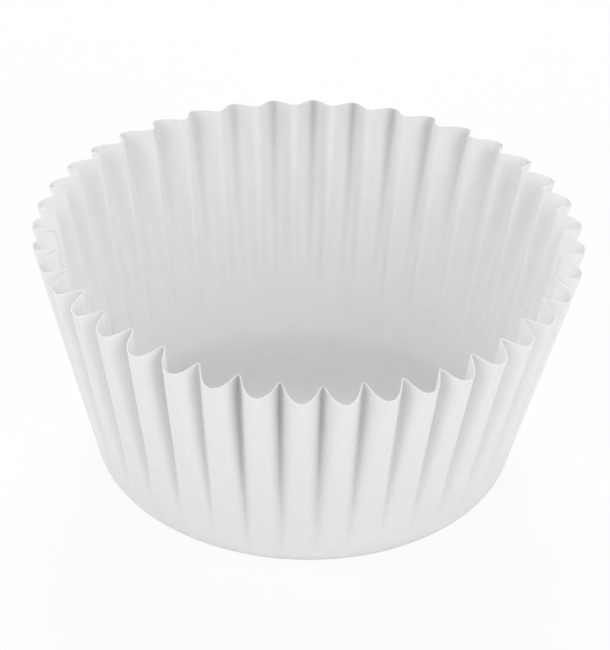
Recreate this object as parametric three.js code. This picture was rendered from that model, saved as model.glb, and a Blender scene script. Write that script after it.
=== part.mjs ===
// Fluted paper baking cup, pressed as one piece from a flat disc of white paper.
// Millimetres, +Z up. The origin is the middle of the underside, which is the face it rests on.

import * as THREE from 'three';

// The flat disc that the cup is pressed from
const discDiameter = 114.3;
const paperThickness = 0.1;

// The pressed form: a flat floor, a round bend, and a wall that leans out
const floorDiameter = 47;
const bendRadius = 3;
const crownLean = THREE.MathUtils.degToRad(15.5);

// The flutes: rounded crowns outside, with a sharp crease between each pair
const fluteCount = 40;
const firstCrownAngle = THREE.MathUtils.degToRad(-19.24);
const creaseSwing = THREE.MathUtils.degToRad(5.75);
const creaseRounding = 0.18;
const creaseSharpnessAtRim = 1.7;
const creaseSharpnessAtBend = 5;

// The finish of the paper
const paperColour = 0xf1f1ef;
const paperRoughness = 0.75;

// How finely the curved sheet is divided
const stepsPerFlank = 4;
const bendSteps = 3;
const wallSteps = 4;
const slopeStep = 1e-4;

// Sizes that follow from the ones above
const stepsPerFlute = 2 * stepsPerFlank;
const columns = fluteCount * stepsPerFlute;
const floorRadius = floorDiameter / 2;
const bendCentreHeight = paperThickness / 2 + bendRadius;
const bendTurn = Math.PI / 2 - crownLean;
const bendLength = bendRadius * bendTurn;
const wallLength = discDiameter / 2 - floorRadius - bendLength;

// How far a point of the disc, at this distance from its middle, has come along the bend and the wall
function alongBend(distance) {
  return THREE.MathUtils.clamp((distance - floorRadius) / bendLength, 0, 1);
}

function alongWall(distance) {
  return Math.max(0, distance - floorRadius - bendLength);
}

// The middle of the sheet along the crown of a flute, as radius and height
function crownLine(distance) {
  const turn = bendTurn * alongBend(distance);
  const wall = alongWall(distance);
  const flat = Math.min(distance, floorRadius);
  return new THREE.Vector2(
    flat + bendRadius * Math.sin(turn) + wall * Math.sin(crownLean),
    bendCentreHeight - bendRadius * Math.cos(turn) + wall * Math.cos(crownLean)
  );
}

// How deep the fold is at this angle: 1 in a crease, 0 on a crown
function foldDepth(angle, sharpness) {
  const flute = (angle - firstCrownAngle) / (2 * Math.PI) * fluteCount;
  const fromCrease = 1 - 2 * Math.abs(flute - Math.round(flute));
  const rounded = Math.hypot(fromCrease, creaseRounding) - creaseRounding;
  const whole = Math.hypot(1, creaseRounding) - creaseRounding;
  return Math.pow(Math.max(0, 1 - rounded / whole), sharpness);
}

// The middle of the fluted sheet: a crease swings the wall inwards about the centre of the bend,
// so that the flutes start at the bend and grow deeper all the way to the rim
function sheetPoint(distance, angle) {
  const rise = alongWall(distance) / wallLength;
  const sharpness = THREE.MathUtils.lerp(creaseSharpnessAtBend, creaseSharpnessAtRim, rise);
  const swing = creaseSwing * alongBend(distance) * foldDepth(angle, sharpness);
  const bendCentre = new THREE.Vector2(floorRadius, bendCentreHeight);
  const point = crownLine(distance);
  if (distance > floorRadius) {
    point.rotateAround(bendCentre, swing);
  }
  return new THREE.Vector3(point.x * Math.cos(angle), point.x * Math.sin(angle), point.y);
}

// The outward normal of the fluted sheet
function sheetNormal(distance, angle) {
  if (distance <= floorRadius) {
    return new THREE.Vector3(0, 0, -1);
  }
  const up = sheetPoint(distance + slopeStep, angle).sub(sheetPoint(distance - slopeStep, angle));
  const round = sheetPoint(distance, angle + slopeStep).sub(sheetPoint(distance, angle - slopeStep));
  return round.cross(up).normalize();
}

// The section of the paper: out from the middle and up its outside, then back down its inside
function paperSection() {
  const outside = [{ distance: 0, side: 1 }];
  for (let step = 0; step <= bendSteps; step += 1) {
    outside.push({ distance: floorRadius + bendLength * step / bendSteps, side: 1 });
  }
  for (let step = 1; step <= wallSteps; step += 1) {
    outside.push({ distance: floorRadius + bendLength + wallLength * step / wallSteps, side: 1 });
  }
  const inside = outside.map(({ distance }) => ({ distance, side: -1 })).reverse();
  return outside.concat(inside);
}

// Splits the squares of the sheet along the same diagonal inside and outside, so that the two sides of
// thin paper never cross, and along mirrored diagonals on the two flanks of a flute
function matchDiagonals(index, rows) {
  const squares = rows - 1;
  for (let column = 0; column < columns; column += 1) {
    for (let row = 0; row < squares; row += 1) {
      const isInside = row >= rows / 2;
      const isFirstFlank = column % stepsPerFlute < stepsPerFlank;
      if (isInside === isFirstFlank) {
        const near = column * rows + row;
        const far = near + rows;
        const triangles = [near, far, far + 1, near, far + 1, near + 1];
        index.set(triangles, (column * squares + row) * triangles.length);
      }
    }
  }
}

// The section is turned about the cup's axis, and each of its points is then moved onto the fluted sheet
function cupGeometry() {
  const section = paperSection();
  const profile = section.map(({ distance, side }) => {
    const middle = crownLine(distance);
    return new THREE.Vector2(middle.x, middle.y - side * paperThickness / 2);
  });
  const geometry = new THREE.LatheGeometry(profile, columns);
  const position = geometry.getAttribute('position');
  for (let column = 0; column <= columns; column += 1) {
    const angle = firstCrownAngle + 2 * Math.PI * (column % columns) / columns;
    section.forEach(({ distance, side }, row) => {
      const point = sheetPoint(distance, angle);
      point.addScaledVector(sheetNormal(distance, angle), side * paperThickness / 2);
      position.setXYZ(column * section.length + row, point.x, point.y, point.z);
    });
  }
  matchDiagonals(geometry.getIndex(), section.length);
  geometry.computeVertexNormals();
  return geometry;
}

const paper = new THREE.MeshStandardMaterial({
  color: paperColour,
  roughness: paperRoughness,
  metalness: 0
});

const bakingCup = new THREE.Mesh(cupGeometry(), paper);
bakingCup.name = 'baking_cup';

const cup = new THREE.Group();
cup.add(bakingCup);

export default cup;
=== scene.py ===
"""The looks of a white fluted paper baking cup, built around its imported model.

Everything is in metres in the model's own frame: +Z up, with the origin at the middle of the cup's
underside. The cup is made as the real one is. A flat disc of paper is laid out ring by ring, pressed
into its fluted form, and then given its thickness and its fibre grain.
"""

from __future__ import annotations

import logging
import math
from dataclasses import dataclass, field, replace
from enum import Enum
from typing import Dict, Tuple, Union

import bpy
import numpy as np
from mathutils import Matrix, Vector


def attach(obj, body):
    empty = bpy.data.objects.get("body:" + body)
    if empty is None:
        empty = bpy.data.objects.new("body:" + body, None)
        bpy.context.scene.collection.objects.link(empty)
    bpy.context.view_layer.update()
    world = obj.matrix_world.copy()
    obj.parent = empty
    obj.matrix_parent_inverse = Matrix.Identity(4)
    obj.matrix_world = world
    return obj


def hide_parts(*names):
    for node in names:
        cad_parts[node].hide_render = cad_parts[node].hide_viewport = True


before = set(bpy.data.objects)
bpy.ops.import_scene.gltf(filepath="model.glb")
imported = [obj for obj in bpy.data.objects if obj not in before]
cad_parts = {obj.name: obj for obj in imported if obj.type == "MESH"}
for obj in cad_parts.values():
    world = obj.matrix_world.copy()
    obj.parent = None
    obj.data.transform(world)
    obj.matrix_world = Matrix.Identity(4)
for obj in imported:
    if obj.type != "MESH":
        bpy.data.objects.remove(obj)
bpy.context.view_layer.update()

LOG = logging.getLogger("baking_cup")
MM = 0.001
CUP_NODE = "baking_cup"
BODY = "root"
# Names of the point attributes that carry painted shade: darker paper along the creases on the outside and
# along the crowns on the inside, where shade falls in the folds.
CREASE_SHADE = "crease_shade"
CROWN_SHADE = "crown_line"

Colour = Tuple[float, float, float, float]


class PaperFace(Enum):
    """Which face of the paper a material covers, as its place in the cup's material list."""

    INSIDE = 0
    CUT_EDGE = 1
    OUTSIDE = 2


def grey(level: float) -> Colour:
    """A neutral colour of this linear level."""
    return (level, level, level, 1.0)


@dataclass(frozen=True)
class Wave:
    """A slow change of a size round the cup, as one cosine and one sine term."""

    turns: int
    cosine: float
    sine: float

    def at(self, angle: np.ndarray) -> np.ndarray:
        """The change at each angle."""
        return self.cosine * np.cos(self.turns * angle) + self.sine * np.sin(self.turns * angle)


@dataclass(frozen=True)
class Swell:
    """A change of a size on one side of the cup, strongest at one bearing and gone far from it."""

    bearing: float
    width: float
    height: float

    def at(self, angle: np.ndarray) -> np.ndarray:
        """The change at each angle."""
        off = (angle - self.bearing + math.pi) % math.tau - math.pi
        return self.height * np.exp(-((off / self.width) ** 2))


Changes = Tuple[Union[Wave, Swell], ...]


def total(changes: Changes, angle: np.ndarray) -> np.ndarray:
    """Adds several changes up.

    Args:
        changes: the waves and swells to add.
        angle: angles round the cup, in radians.

    Returns:
        The sum at each angle.
    """
    return sum((change.at(angle) for change in changes), np.zeros_like(angle))


@dataclass(frozen=True)
class PressedForm:
    """The die that presses the disc: its floor, bend, wall and flutes, in millimetres and radians."""

    disc_radius: float = 57.15
    floor_radius: float = 23.5
    bend_radius: float = 3.0
    crown_lean: float = math.radians(15.5)
    flutes: int = 40
    first_crown: float = math.radians(-19.24)
    crease_swing: float = math.radians(5.75)
    sharpness_at_rim: float = 1.25
    sharpness_at_bend: float = 5.0
    sheet_middle: float = 0.05

    @property
    def bend_turn(self) -> float:
        """How far the bend turns the sheet on a crown."""
        return math.pi / 2 - self.crown_lean

    @property
    def bend_length(self) -> float:
        """The paper's length round the bend."""
        return self.bend_radius * self.bend_turn

    @property
    def wall_length(self) -> float:
        """The paper's length from the bend to the rim."""
        return self.disc_radius - self.floor_radius - self.bend_length

    @property
    def centre_height(self) -> float:
        """The height of the bend's centre."""
        return self.sheet_middle + self.bend_radius

    def along_bend(self, distance: np.ndarray) -> np.ndarray:
        """How much of the bend is passed at this distance from the disc's middle, from 0 to 1."""
        return np.clip((distance - self.floor_radius) / self.bend_length, 0.0, 1.0)

    def rise(self, distance: np.ndarray) -> np.ndarray:
        """How much of the wall is passed at this distance from the disc's middle, from 0 to 1."""
        return np.maximum(0.0, distance - self.floor_radius - self.bend_length) / self.wall_length

    def crown_line(self, distance: np.ndarray) -> Tuple[np.ndarray, np.ndarray]:
        """The sheet along the crown of a flute.

        Args:
            distance: distances from the disc's middle.

        Returns:
            The radius and the height of each point.
        """
        turn = self.bend_turn * self.along_bend(distance)
        wall = self.wall_length * self.rise(distance)
        radius = np.minimum(distance, self.floor_radius) + self.bend_radius * np.sin(turn)
        height = self.centre_height - self.bend_radius * np.cos(turn)
        return radius + wall * math.sin(self.crown_lean), height + wall * math.cos(self.crown_lean)

    def flute(self, angle: np.ndarray) -> np.ndarray:
        """Each angle counted in flutes from the first crown."""
        return (angle - self.first_crown) / math.tau * self.flutes

    def from_crease(self, angle: np.ndarray) -> np.ndarray:
        """How far each angle lies from the next crease: 0 in the crease and 1 on the crown beside it."""
        flute = self.flute(angle)
        return 1.0 - 2.0 * np.abs(flute - np.round(flute))

    @staticmethod
    def fold_depth(from_crease: np.ndarray, sharpness: np.ndarray, rounding: np.ndarray) -> np.ndarray:
        """How deep the fold is: 1 in a crease and 0 on a crown.

        Args:
            from_crease: the place between a crease, at 0, and a crown, at 1.
            sharpness: how narrow the crease is there, and so how broad the crown.
            rounding: how round the bottom of the crease is.

        Returns:
            The depth at each place.
        """
        rounded = np.hypot(from_crease, rounding) - rounding
        whole = np.hypot(1.0, rounding) - rounding
        return np.clip(1.0 - rounded / whole, 0.0, 1.0) ** sharpness

    def press(self, distance: np.ndarray, depth: np.ndarray) -> Tuple[np.ndarray, np.ndarray]:
        """Presses points of the disc into the fluted form.

        Args:
            distance: distances from the disc's middle.
            depth: how deep each point lies in its fold, where 1 is the bottom of the die's crease.

        Returns:
            The radius and the height of each point.
        """
        swing = self.crease_swing * self.along_bend(distance) * depth
        radius, height = self.crown_line(distance)
        out, up = radius - self.floor_radius, height - self.centre_height
        swung_out = out * np.cos(swing) - up * np.sin(swing)
        swung_up = out * np.sin(swing) + up * np.cos(swing)
        bent = distance > self.floor_radius
        return (
            np.where(bent, self.floor_radius + swung_out, radius),
            np.where(bent, self.centre_height + swung_up, height),
        )


@dataclass(frozen=True)
class Handling:
    """How this one cup departs from its die: paper springs back a little, and never quite evenly. It also
    holds the strengths of the shade painted along its folds.
    """

    rim_drop: float = -0.345
    flute_drift: Changes = (
        Wave(1, math.radians(1.12), math.radians(0.98)),
        Wave(2, math.radians(-0.73), math.radians(0.12)),
        Wave(3, math.radians(0.44), math.radians(0.77)),
    )
    out_of_round: Changes = (
        Wave(0, -0.0025, 0.0),
        Wave(1, 0.0065, 0.0150),
        Wave(2, -0.0011, -0.0079),
        Wave(3, -0.0070, 0.0157),
    )
    rim_height: Changes = (
        Wave(1, -0.16, 0.22),
        Wave(2, 0.08, 0.11),
        Wave(3, 0.08, -0.17),
    )
    crease_rounding: Changes = (Wave(0, 0.27, 0.0), Wave(1, 0.0, 0.18))
    crown_breadth: Changes = (Wave(0, 1.6, 0.0), Wave(2, 1.1, 0.0))
    crease_pinch: Changes = (Wave(0, 0.13, 0.0), Wave(1, 0.0, -0.2))
    crown_pinch: Changes = (Wave(0, 0.04, 0.0), Wave(1, 0.0, 0.24))
    crease_pinch_width: float = 0.26
    crown_pinch_width: float = 0.2
    rim_release: float = 14.0
    # Painted shade along the folds: the width, growth up the wall and strength by bearing of the darkening
    # painted into the creases outside and the crowns inside. It is strongest on the front outside and the
    # back inside, with a random share for each flute.
    crease_shade_width: float = 0.26
    crease_shade_growth: float = 0.7
    crease_shade_strength: Changes = (
        Wave(0, 0.15, 0.0),
        Wave(1, 0.0, -0.2),
        Swell(math.radians(-96.0), math.radians(13.0), 0.65),
    )
    crown_shade_width: float = 0.2
    crown_shade_foot: float = 0.15
    crown_shade_strength: Changes = (
        Wave(0, 0.12, 0.0),
        Wave(1, 0.0, 0.2),
        Swell(math.radians(84.0), math.radians(15.0), 0.6),
    )
    shade_spread: float = 0.2
    shade_seed: int = 5
    fold_onset: float = 0.08
    depth_spread: float = 0.07
    seed: int = 11

    def fold_depth(self, form: PressedForm, rise: np.ndarray, angle: np.ndarray) -> np.ndarray:
        """How deep each point lies in its fold, with the narrow pinch that pressing leaves at the fold line.

        Args:
            form: the die.
            rise: how far up the wall each point is, from 0 to 1.
            angle: angles round the disc.

        Returns:
            The depth at each point, where 1 is the bottom of the die's crease.
        """
        place = form.from_crease(angle)
        narrowing = form.sharpness_at_bend + (form.sharpness_at_rim - form.sharpness_at_bend) * rise
        sharpness = narrowing + total(self.crown_breadth, angle) * place * rise
        rounding = np.maximum(0.06, total(self.crease_rounding, angle))
        crease = np.maximum(0.0, total(self.crease_pinch, angle)) * rise
        crown = np.maximum(0.0, total(self.crown_pinch, angle)) * (rise - rise**self.rim_release)
        fold = form.fold_depth(place, sharpness, rounding) * (1.0 - crease - crown)
        fold += crease * np.exp(-((place / self.crease_pinch_width) ** 2))
        fold += crown * (1.0 - np.exp(-(((1.0 - place) / self.crown_pinch_width) ** 2)))
        onset = 1.0 - np.exp(-rise / self.fold_onset)
        return fold * onset * self._spread(form.flute(angle), form, self.depth_spread, self.seed)

    def painted_fold_shades(self, form: PressedForm, rise: np.ndarray, angle: np.ndarray) -> Dict[str, np.ndarray]:
        """How strongly each point is darkened by the shade painted along the fold beside it.

        Args:
            form: the die.
            rise: how far up the wall each point is, from 0 to 1.
            angle: angles round the disc.

        Returns:
            The painted shade along the creases and along the crowns, from 0 to 1, by the name of their
            attribute.
        """
        place = form.from_crease(angle)
        upper = np.clip((rise - self.crown_shade_foot) / (1.0 - self.crown_shade_foot), 0.0, 1.0)
        # Painted shade masks: crease is the shade painted into the outside's creases, and crown the shade
        # painted into the inside's crown grooves.
        crease = np.exp(-((place / self.crease_shade_width) ** 2)) * rise**self.crease_shade_growth
        crown = np.exp(-(((1.0 - place) / self.crown_shade_width) ** 2)) * upper
        crease *= self._spread(form.flute(angle), form, self.shade_spread, self.shade_seed)
        crown *= self._spread(form.flute(angle) + 0.5, form, self.shade_spread, self.shade_seed)
        return {
            CREASE_SHADE: crease * np.maximum(0.0, total(self.crease_shade_strength, angle)),
            CROWN_SHADE: crown * np.maximum(0.0, total(self.crown_shade_strength, angle)),
        }

    @staticmethod
    def _spread(flute: np.ndarray, form: PressedForm, amount: float, seed: int) -> np.ndarray:
        """How much more or less of something each flute has than its neighbours.

        Args:
            flute: which flute each point belongs to; only its whole part counts.
            form: the die.
            amount: the largest share that is added or taken away.
            seed: the seed of the random numbers.

        Returns:
            The factor at each point, about 1.
        """
        factors = 1.0 + amount * np.random.default_rng(seed).uniform(-1.0, 1.0, form.flutes)
        return factors[np.floor(flute).astype(int) % form.flutes]


@dataclass
class PaperMesh:
    """How finely the disc is divided before it is pressed."""

    steps_per_flute: int = 26
    floor_rings: int = 4
    bend_rings: int = 6
    wall_rings: int = 28

    def rings(self, form: PressedForm) -> np.ndarray:
        """The radii of the disc's rings, from the middle to the rim."""
        bend_end = form.floor_radius + form.bend_length
        floor = np.linspace(0.0, form.floor_radius, self.floor_rings + 1)[1:]
        bend = np.linspace(form.floor_radius, bend_end, self.bend_rings + 1)[1:]
        wall = np.linspace(bend_end, form.disc_radius, self.wall_rings + 1)[1:]
        return np.concatenate([floor, bend, wall])


@dataclass(frozen=True)
class PaperFinish:
    """White, uncoated baking paper, with painted shade that makes it greyer along the lines where it is
    folded towards the eye.
    """

    name: str
    colour: Colour
    fold_shade_attribute: str
    painted_fold_shade: float
    cloud: float
    roughness: float
    roughness_spread: float
    grain_depth: float
    streak_depth: float
    specular: float = 0.3


# Each finish's fold strength darkens the paper with painted shade along its folds; the cut edge has none.
OUTSIDE_FINISH = PaperFinish(
    name="baking paper",
    colour=(0.88, 0.881, 0.878, 1.0),
    fold_shade_attribute=CREASE_SHADE,
    painted_fold_shade=0.4,
    cloud=0.035,
    roughness=0.72,
    roughness_spread=0.12,
    grain_depth=0.02 * MM,
    streak_depth=0.05 * MM,
)
INSIDE_FINISH = replace(
    OUTSIDE_FINISH, name="baking paper inside", fold_shade_attribute=CROWN_SHADE, painted_fold_shade=0.38
)
CUT_EDGE_FINISH = replace(
    OUTSIDE_FINISH,
    name="baking paper cut edge",
    colour=(0.9, 0.902, 0.9, 1.0),
    painted_fold_shade=0.0,
    cloud=0.02,
    roughness=0.9,
    grain_depth=0.03 * MM,
    streak_depth=0.01 * MM,
)


class FibreGrain:
    """A node group for the grain of paper: its cloudy formation, its fibres and the streaks of pressing."""

    NAME = "paper fibre grain"
    FORMATION_SCALE = 46.0
    FIBRE_SCALE = 420.0
    STREAK_SCALE = 34.0
    STREAK_STRETCH = 1.4
    STREAK_START = 0.21
    STREAK_FULL = 0.3

    def build(self) -> bpy.types.NodeTree:
        """Makes the group.

        Returns:
            The node tree, with the outputs Formation, Fibres and Streaks, each from 0 to 1.
        """
        tree = bpy.data.node_groups.new(self.NAME, "ShaderNodeTree")
        tree.interface.new_socket("Blank", in_out="INPUT", socket_type="NodeSocketVector")
        for name in ("Formation", "Fibres", "Streaks"):
            tree.interface.new_socket(name, in_out="OUTPUT", socket_type="NodeSocketFloat")
        source = tree.nodes.new("NodeGroupInput")
        result = tree.nodes.new("NodeGroupOutput")
        blank = source.outputs["Blank"]
        formation = self._noise(tree, blank, self.FORMATION_SCALE, 5.0, 0.6)
        tree.links.new(formation, result.inputs["Formation"])
        fibres = self._noise(tree, self._stretched(tree, blank), self.FIBRE_SCALE, 4.0, 0.65)
        tree.links.new(fibres, result.inputs["Fibres"])
        centred = tree.nodes.new("ShaderNodeVectorMath")
        centred.operation = "SUBTRACT"
        centred.inputs[1].default_value = (0.5, 0.5, 0.0)
        tree.links.new(blank, centred.inputs[0])
        length = tree.nodes.new("ShaderNodeVectorMath")
        length.operation = "LENGTH"
        tree.links.new(centred.outputs["Vector"], length.inputs[0])
        outwards = self._round_the_disc(tree, centred.outputs["Vector"], length.outputs["Value"])
        streaks = tree.nodes.new("ShaderNodeMath")
        streaks.operation = "MULTIPLY"
        tree.links.new(self._noise(tree, outwards, self.STREAK_SCALE, 3.0, 0.5), streaks.inputs[0])
        tree.links.new(self._on_the_wall(tree, length.outputs["Value"]), streaks.inputs[1])
        tree.links.new(streaks.outputs["Value"], result.inputs["Streaks"])
        return tree

    @staticmethod
    def _noise(
        tree: bpy.types.NodeTree,
        place: bpy.types.NodeSocket,
        scale: float,
        detail: float,
        roughness: float,
    ) -> bpy.types.NodeSocket:
        """A noise texture at a place.

        Args:
            tree: the group that it goes into.
            place: the vector that it reads.
            scale: how many features fit across the disc.
            detail: how many finer layers it has.
            roughness: how strong the finer layers are.

        Returns:
            The texture's value output.
        """
        noise = tree.nodes.new("ShaderNodeTexNoise")
        noise.inputs["Scale"].default_value = scale
        noise.inputs["Detail"].default_value = detail
        noise.inputs["Roughness"].default_value = roughness
        tree.links.new(place, noise.inputs["Vector"])
        return noise.outputs["Fac"]

    @staticmethod
    def _stretched(tree: bpy.types.NodeTree, blank: bpy.types.NodeSocket) -> bpy.types.NodeSocket:
        """Draws the fibres out along the way that the paper ran on its machine."""
        mapping = tree.nodes.new("ShaderNodeMapping")
        mapping.inputs["Rotation"].default_value = (0.0, 0.0, math.radians(24.0))
        mapping.inputs["Scale"].default_value = (1.0, 0.3, 1.0)
        tree.links.new(blank, mapping.inputs["Vector"])
        return mapping.outputs["Vector"]

    def _on_the_wall(self, tree: bpy.types.NodeTree, length: bpy.types.NodeSocket) -> bpy.types.NodeSocket:
        """0 on the floor, which isn't streaked, and 1 on the wall."""
        wall = tree.nodes.new("ShaderNodeMapRange")
        wall.inputs["From Min"].default_value = self.STREAK_START
        wall.inputs["From Max"].default_value = self.STREAK_FULL
        tree.links.new(length, wall.inputs["Value"])
        return wall.outputs["Result"]

    def _round_the_disc(
        self,
        tree: bpy.types.NodeTree,
        centred: bpy.types.NodeSocket,
        length: bpy.types.NodeSocket,
    ) -> bpy.types.NodeSocket:
        """A place that changes fast round the disc and slowly outwards, so that noise makes streaks.

        Args:
            tree: the group that it goes into.
            centred: the place on the disc, from its middle.
            length: the distance from the disc's middle.

        Returns:
            The place, as a vector output.
        """
        direction = tree.nodes.new("ShaderNodeVectorMath")
        direction.operation = "NORMALIZE"
        tree.links.new(centred, direction.inputs[0])
        outwards = tree.nodes.new("ShaderNodeCombineXYZ")
        stretch = tree.nodes.new("ShaderNodeMath")
        stretch.operation = "MULTIPLY"
        stretch.inputs[1].default_value = self.STREAK_STRETCH
        tree.links.new(length, stretch.inputs[0])
        tree.links.new(stretch.outputs["Value"], outwards.inputs["Z"])
        place = tree.nodes.new("ShaderNodeVectorMath")
        place.operation = "ADD"
        tree.links.new(direction.outputs["Vector"], place.inputs[0])
        tree.links.new(outwards.outputs["Vector"], place.inputs[1])
        return place.outputs["Vector"]


class PaperMaterial:
    """A material for one face of the paper, made from its finish and the shared grain."""

    UV_NAME = "blank"

    def __init__(self, finish: PaperFinish, grain: bpy.types.NodeTree) -> None:
        """Keeps the finish and the grain.

        Args:
            finish: the colours, roughness and depths.
            grain: the node group of the paper's grain.
        """
        self.finish = finish
        self.grain = grain

    def build(self) -> bpy.types.Material:
        """Makes the material.

        Returns:
            The finished material.
        """
        material = bpy.data.materials.new(self.finish.name)
        material.use_nodes = True
        tree = material.node_tree
        paper = tree.nodes["Principled BSDF"]
        paper.inputs["Specular IOR Level"].default_value = self.finish.specular
        blank = tree.nodes.new("ShaderNodeUVMap")
        blank.uv_map = self.UV_NAME
        grain = tree.nodes.new("ShaderNodeGroup")
        grain.node_tree = self.grain
        tree.links.new(blank.outputs["UV"], grain.inputs["Blank"])
        tree.links.new(self._colour(tree, grain.outputs["Formation"]), paper.inputs["Base Color"])
        tree.links.new(self._roughness(tree, grain.outputs["Fibres"]), paper.inputs["Roughness"])
        tree.links.new(self._relief(tree, grain), paper.inputs["Normal"])
        return material

    def _colour(self, tree: bpy.types.NodeTree, formation: bpy.types.NodeSocket) -> bpy.types.NodeSocket:
        """The paper's white, a little cloudy where its fibres lie thicker, and darker along the folds with
        painted shade.
        """
        mix = tree.nodes.new("ShaderNodeMix")
        mix.data_type = "RGBA"
        thin = [level * (1.0 - self.finish.cloud) for level in self.finish.colour[:3]]
        thick = [min(1.0, level * (1.0 + self.finish.cloud)) for level in self.finish.colour[:3]]
        mix.inputs["A"].default_value = (*thin, 1.0)
        mix.inputs["B"].default_value = (*thick, 1.0)
        tree.links.new(formation, mix.inputs["Factor"])
        # Painted shade: the paper's colour is mixed towards black along the folds, by the fold attribute
        # times the finish's strength.
        line = tree.nodes.new("ShaderNodeAttribute")
        line.attribute_name = self.finish.fold_shade_attribute
        shade = tree.nodes.new("ShaderNodeMath")
        shade.operation = "MULTIPLY"
        shade.inputs[1].default_value = self.finish.painted_fold_shade
        tree.links.new(line.outputs["Fac"], shade.inputs[0])
        painted_shade = tree.nodes.new("ShaderNodeMix")
        painted_shade.data_type = "RGBA"
        painted_shade.inputs["B"].default_value = grey(0.0)
        tree.links.new(shade.outputs["Value"], painted_shade.inputs["Factor"])
        tree.links.new(mix.outputs["Result"], painted_shade.inputs["A"])
        return painted_shade.outputs["Result"]

    def _roughness(self, tree: bpy.types.NodeTree, fibres: bpy.types.NodeSocket) -> bpy.types.NodeSocket:
        """Rougher where the fibres stand up."""
        spread = tree.nodes.new("ShaderNodeMapRange")
        spread.inputs["To Min"].default_value = self.finish.roughness - self.finish.roughness_spread
        spread.inputs["To Max"].default_value = self.finish.roughness + self.finish.roughness_spread
        tree.links.new(fibres, spread.inputs["Value"])
        return spread.outputs["Result"]

    def _relief(self, tree: bpy.types.NodeTree, grain: bpy.types.Node) -> bpy.types.NodeSocket:
        """Bumps for the pressed streaks, with the fibres on top."""
        streaks = tree.nodes.new("ShaderNodeBump")
        streaks.inputs["Distance"].default_value = self.finish.streak_depth
        tree.links.new(grain.outputs["Streaks"], streaks.inputs["Height"])
        fibres = tree.nodes.new("ShaderNodeBump")
        fibres.inputs["Distance"].default_value = self.finish.grain_depth
        tree.links.new(grain.outputs["Fibres"], fibres.inputs["Height"])
        tree.links.new(streaks.outputs["Normal"], fibres.inputs["Normal"])
        return fibres.outputs["Normal"]


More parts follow.
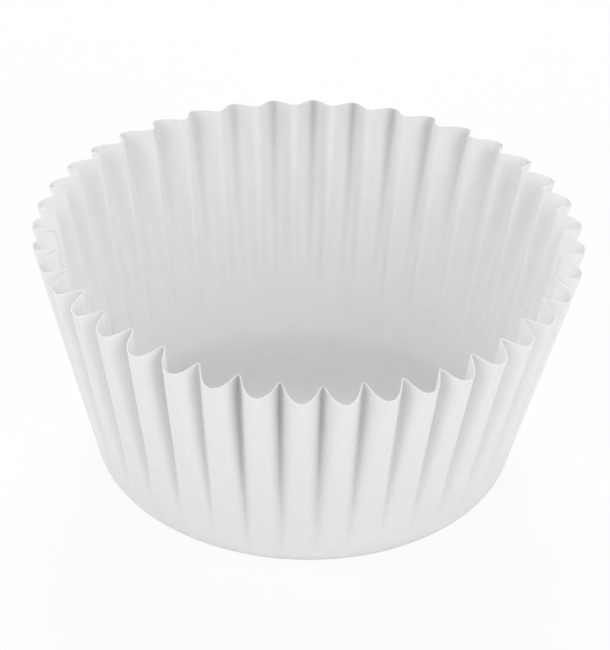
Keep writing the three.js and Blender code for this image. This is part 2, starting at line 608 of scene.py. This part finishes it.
@dataclass
class BakingCup:
    """The cup: one disc of paper, pressed into its floor, bend and fluted wall."""

    form: PressedForm = field(default_factory=PressedForm)
    handling: Handling = field(default_factory=Handling)
    mesh: PaperMesh = field(default_factory=PaperMesh)
    paper_thickness: float = 0.1
    smooth_angle: float = math.radians(50.0)

    def build(self) -> bpy.types.Object:
        """Makes the cup's mesh.

        Returns:
            The finished piece, at the origin.
        """
        cup = self._lay_out_disc()
        self._keep_blank_places(cup)
        self._give_finishes(cup)
        self._press(cup)
        self._thicken(cup)
        bpy.ops.object.shade_smooth_by_angle(angle=self.smooth_angle)
        return cup

    @staticmethod
    def join(cup: bpy.types.Object) -> None:
        """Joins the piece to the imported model, whose solid it replaces."""
        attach(cup, BODY)
        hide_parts(CUP_NODE)

    def _lay_out_disc(self) -> bpy.types.Object:
        """Lays the flat disc out: a small circle at its middle, drawn out ring by ring to its cut edge.

        Returns:
            The flat disc.
        """
        rings = self.mesh.rings(self.form) * MM
        columns = self.form.flutes * self.mesh.steps_per_flute
        bpy.ops.object.select_all(action="DESELECT")
        bpy.ops.mesh.primitive_circle_add(
            vertices=columns, radius=rings[0], fill_type="TRIFAN", location=(0.0, 0.0, 0.0)
        )
        disc = bpy.context.object
        disc.name = disc.data.name = "paper_cup"
        bpy.ops.object.mode_set(mode="EDIT")
        bpy.ops.mesh.select_mode(type="EDGE")
        bpy.ops.mesh.select_all(action="DESELECT")
        bpy.ops.mesh.select_non_manifold()
        for inner, outer in zip(rings, rings[1:]):
            bpy.ops.mesh.extrude_edges_indiv()
            growth = outer / inner
            bpy.ops.transform.resize(value=(growth, growth, 1.0), center_override=(0.0, 0.0, 0.0))
        bpy.ops.mesh.select_all(action="SELECT")
        bpy.ops.mesh.remove_doubles(threshold=1e-7)
        bpy.ops.mesh.normals_make_consistent(inside=False)
        bpy.ops.object.mode_set(mode="OBJECT")
        return disc

    @staticmethod
    def _give_finishes(disc: bpy.types.Object) -> None:
        """Gives the paper one material for each of its faces, in the order of PaperFace."""
        grain = FibreGrain().build()
        finishes = {
            PaperFace.INSIDE: INSIDE_FINISH,
            PaperFace.CUT_EDGE: CUT_EDGE_FINISH,
            PaperFace.OUTSIDE: OUTSIDE_FINISH,
        }
        for face in PaperFace:
            disc.data.materials.append(PaperMaterial(finishes[face], grain).build())

    def _keep_blank_places(self, disc: bpy.types.Object) -> None:
        """Writes each point's place on the flat disc as a UV map, which the paper's grain follows."""
        mesh = disc.data
        while mesh.uv_layers:
            mesh.uv_layers.remove(mesh.uv_layers[0])
        layer = mesh.uv_layers.new(name=PaperMaterial.UV_NAME)
        points = self._points(mesh)
        corners = np.empty(len(mesh.loops), np.int32)
        mesh.loops.foreach_get("vertex_index", corners)
        places = 0.5 + points[corners, :2] / (2.0 * self.form.disc_radius * MM)
        layer.data.foreach_set("uv", places.astype(np.float32).ravel())

    @staticmethod
    def _points(mesh: bpy.types.Mesh) -> np.ndarray:
        """The mesh's vertices, one in each row."""
        points = np.empty(len(mesh.vertices) * 3, np.float32)
        mesh.vertices.foreach_get("co", points)
        return points.reshape(-1, 3).astype(float)

    def _press(self, disc: bpy.types.Object) -> None:
        """Presses the flat disc into the fluted form, as this one cup came out of its die."""
        mesh = disc.data
        flat = self._points(mesh) / MM
        distance = np.hypot(flat[:, 0], flat[:, 1])
        angle = np.arctan2(flat[:, 1], flat[:, 0])
        rise = self.form.rise(distance)
        radius, height = self.form.press(distance, self.handling.fold_depth(self.form, rise, angle))
        nominal = angle
        angle = nominal + total(self.handling.flute_drift, nominal)
        radius = radius * (1.0 + rise * total(self.handling.out_of_round, angle))
        height = height + rise * (self.handling.rim_drop + total(self.handling.rim_height, angle))
        pressed = np.stack([radius * np.cos(angle), radius * np.sin(angle), height], axis=1) * MM
        mesh.vertices.foreach_set("co", pressed.astype(np.float32).ravel())
        # Stores the painted fold shade on the points, for the materials to read.
        for name, strength in self.handling.painted_fold_shades(self.form, rise, nominal).items():
            line = mesh.attributes.new(name, "FLOAT", "POINT")
            line.data.foreach_set("value", strength.astype(np.float32))
        mesh.update()

    def _thicken(self, cup: bpy.types.Object) -> None:
        """Gives the sheet its thickness, half on each side, with a cut edge at the rim."""
        solidify = cup.modifiers.new("paper", "SOLIDIFY")
        solidify.thickness = self.paper_thickness * MM
        solidify.offset = 0.0
        solidify.use_even_offset = True
        solidify.material_offset = PaperFace.OUTSIDE.value
        solidify.material_offset_rim = PaperFace.CUT_EDGE.value
        bpy.ops.object.modifier_apply(modifier=solidify.name)


@dataclass(frozen=True)
class Softbox:
    """A large soft lamp that looks at the cup, placed by its direction from the cup."""

    name: str
    bearing: float
    elevation: float
    width: float
    height: float
    power: float
    distance: float = 1.0

    def place(self, target: Vector) -> Vector:
        """Where the lamp hangs.

        Args:
            target: the point that it looks at.

        Returns:
            The lamp's place.
        """
        bearing, elevation = math.radians(self.bearing), math.radians(self.elevation)
        level = math.cos(elevation)
        direction = Vector((level * math.cos(bearing), level * math.sin(bearing), math.sin(elevation)))
        return target + self.distance * direction


@dataclass
class Studio:
    """The floor, the light and the camera around the cup."""

    focal_pixels: float = 3499.0
    frame_width: float = 610.0
    elevation: float = math.radians(33.86)
    roll: float = math.radians(1.44)
    distance: float = 0.4394
    target: Tuple[float, float, float] = (-0.00017, 0.0, 0.0182)
    sensor_width: float = 36.0
    floor_size: float = 4.0
    floor_level: float = 0.9
    floor_glow: float = 0.9
    sky_level: float = 0.315
    lamps: Tuple[Softbox, ...] = (
        Softbox("back softbox", 90.0, 45.0, 0.45, 0.45, 5.6),
        Softbox("left softbox", 180.0, 23.0, 0.45, 0.7, 1.85),
        Softbox("right softbox", 0.0, 23.0, 0.45, 0.7, 1.2),
        Softbox("front left softbox", -128.0, 27.0, 0.45, 0.8, 2.3),
        Softbox("front right softbox", -54.0, 27.0, 0.45, 0.8, 3.2),
    )

    def build(self) -> None:
        """Sets up the whole studio."""
        self._floor()
        self._sky()
        for lamp in self.lamps:
            self._lamp(lamp)
        self._camera()

    def _floor(self) -> None:
        """A plain pale floor, which the cup stands on and shades."""
        bpy.ops.object.select_all(action="DESELECT")
        bpy.ops.mesh.primitive_plane_add(size=self.floor_size, location=(0.0, 0.0, 0.0))
        floor = bpy.context.object
        floor.name = "studio_floor"
        floor.data.materials.append(self._floor_material())

    def _floor_material(self) -> bpy.types.Material:
        """A matt white floor, part of whose brightness is its own where the camera or a gloss sees it."""
        material = bpy.data.materials.new("studio floor")
        material.use_nodes = True
        tree = material.node_tree
        matt = tree.nodes["Principled BSDF"]
        matt.inputs["Base Color"].default_value = grey(self.floor_level)
        matt.inputs["Roughness"].default_value = 1.0
        matt.inputs["Specular IOR Level"].default_value = 0.0
        glow = tree.nodes.new("ShaderNodeEmission")
        glow.inputs["Color"].default_value = grey(1.0)
        mix = tree.nodes.new("ShaderNodeMixShader")
        share = tree.nodes.new("ShaderNodeMath")
        share.operation = "MULTIPLY"
        share.inputs[1].default_value = self.floor_glow
        tree.links.new(self._seen_rays(tree), share.inputs[0])
        tree.links.new(share.outputs["Value"], mix.inputs["Fac"])
        tree.links.new(matt.outputs["BSDF"], mix.inputs[1])
        tree.links.new(glow.outputs["Emission"], mix.inputs[2])
        tree.links.new(mix.outputs["Shader"], tree.nodes["Material Output"].inputs["Surface"])
        return material

    @staticmethod
    def _seen_rays(tree: bpy.types.NodeTree) -> bpy.types.NodeSocket:
        """1 for a ray from the camera, from a gloss or through glass, and 0 for light."""
        path = tree.nodes.new("ShaderNodeLightPath")
        gloss = tree.nodes.new("ShaderNodeMath")
        gloss.operation = "MAXIMUM"
        tree.links.new(path.outputs["Is Camera Ray"], gloss.inputs[0])
        tree.links.new(path.outputs["Is Glossy Ray"], gloss.inputs[1])
        seen = tree.nodes.new("ShaderNodeMath")
        seen.operation = "MAXIMUM"
        tree.links.new(gloss.outputs["Value"], seen.inputs[0])
        tree.links.new(path.outputs["Is Transmission Ray"], seen.inputs[1])
        return seen.outputs["Value"]

    def _sky(self) -> None:
        """Even light from all round, white where the camera sees it."""
        world = bpy.context.scene.world or bpy.data.worlds.new("studio")
        bpy.context.scene.world = world
        world.use_nodes = True
        tree = world.node_tree
        light = tree.nodes["Background"]
        light.inputs["Color"].default_value = grey(1.0)
        light.inputs["Strength"].default_value = self.sky_level
        white = tree.nodes.new("ShaderNodeBackground")
        white.inputs["Color"].default_value = grey(1.0)
        white.inputs["Strength"].default_value = 1.0
        mix = tree.nodes.new("ShaderNodeMixShader")
        tree.links.new(self._seen_rays(tree), mix.inputs["Fac"])
        tree.links.new(light.outputs["Background"], mix.inputs[1])
        tree.links.new(white.outputs["Background"], mix.inputs[2])
        tree.links.new(mix.outputs["Shader"], tree.nodes["World Output"].inputs["Surface"])

    def _lamp(self, softbox: Softbox) -> None:
        """Hangs one softbox and turns it to the cup.

        Args:
            softbox: its direction, size and power.
        """
        target = Vector(self.target)
        place = softbox.place(target)
        bpy.ops.object.light_add(type="AREA", location=place)
        lamp = bpy.context.object
        lamp.name = softbox.name
        lamp.data.shape = "RECTANGLE"
        lamp.data.size = softbox.width
        lamp.data.size_y = softbox.height
        lamp.data.energy = softbox.power
        lamp.rotation_euler = (target - place).to_track_quat("-Z", "Y").to_euler()

    def _camera(self) -> None:
        """Stands the camera where the photograph was taken from."""
        ahead = Vector((0.0, math.cos(self.elevation), -math.sin(self.elevation)))
        level = Vector((1.0, 0.0, 0.0))
        upright = Vector((0.0, math.sin(self.elevation), math.cos(self.elevation)))
        right = math.cos(self.roll) * level + math.sin(self.roll) * upright
        up = math.cos(self.roll) * upright - math.sin(self.roll) * level
        place = Vector(self.target) - self.distance * ahead
        bpy.ops.object.camera_add(location=place)
        camera = bpy.context.object
        camera.name = "photograph camera"
        axes = Matrix((right, up, -ahead)).transposed().to_4x4()
        camera.matrix_world = Matrix.Translation(place) @ axes
        camera.data.sensor_fit = "HORIZONTAL"
        camera.data.sensor_width = self.sensor_width
        camera.data.lens = self.focal_pixels * self.sensor_width / self.frame_width
        bpy.context.scene.camera = camera


def main() -> None:
    """Builds the cup and its studio."""
    logging.basicConfig(level=logging.INFO, format="%(name)s: %(message)s")
    bpy.context.scene.view_settings.view_transform = "Standard"
    maker = BakingCup()
    cup = maker.build()
    maker.join(cup)
    LOG.info("%s: %d faces, replaces %s", cup.name, len(cup.data.polygons), CUP_NODE)
    Studio().build()
    LOG.info("studio: %d lamps", len(Studio().lamps))


if __name__ == "__main__":
    main()
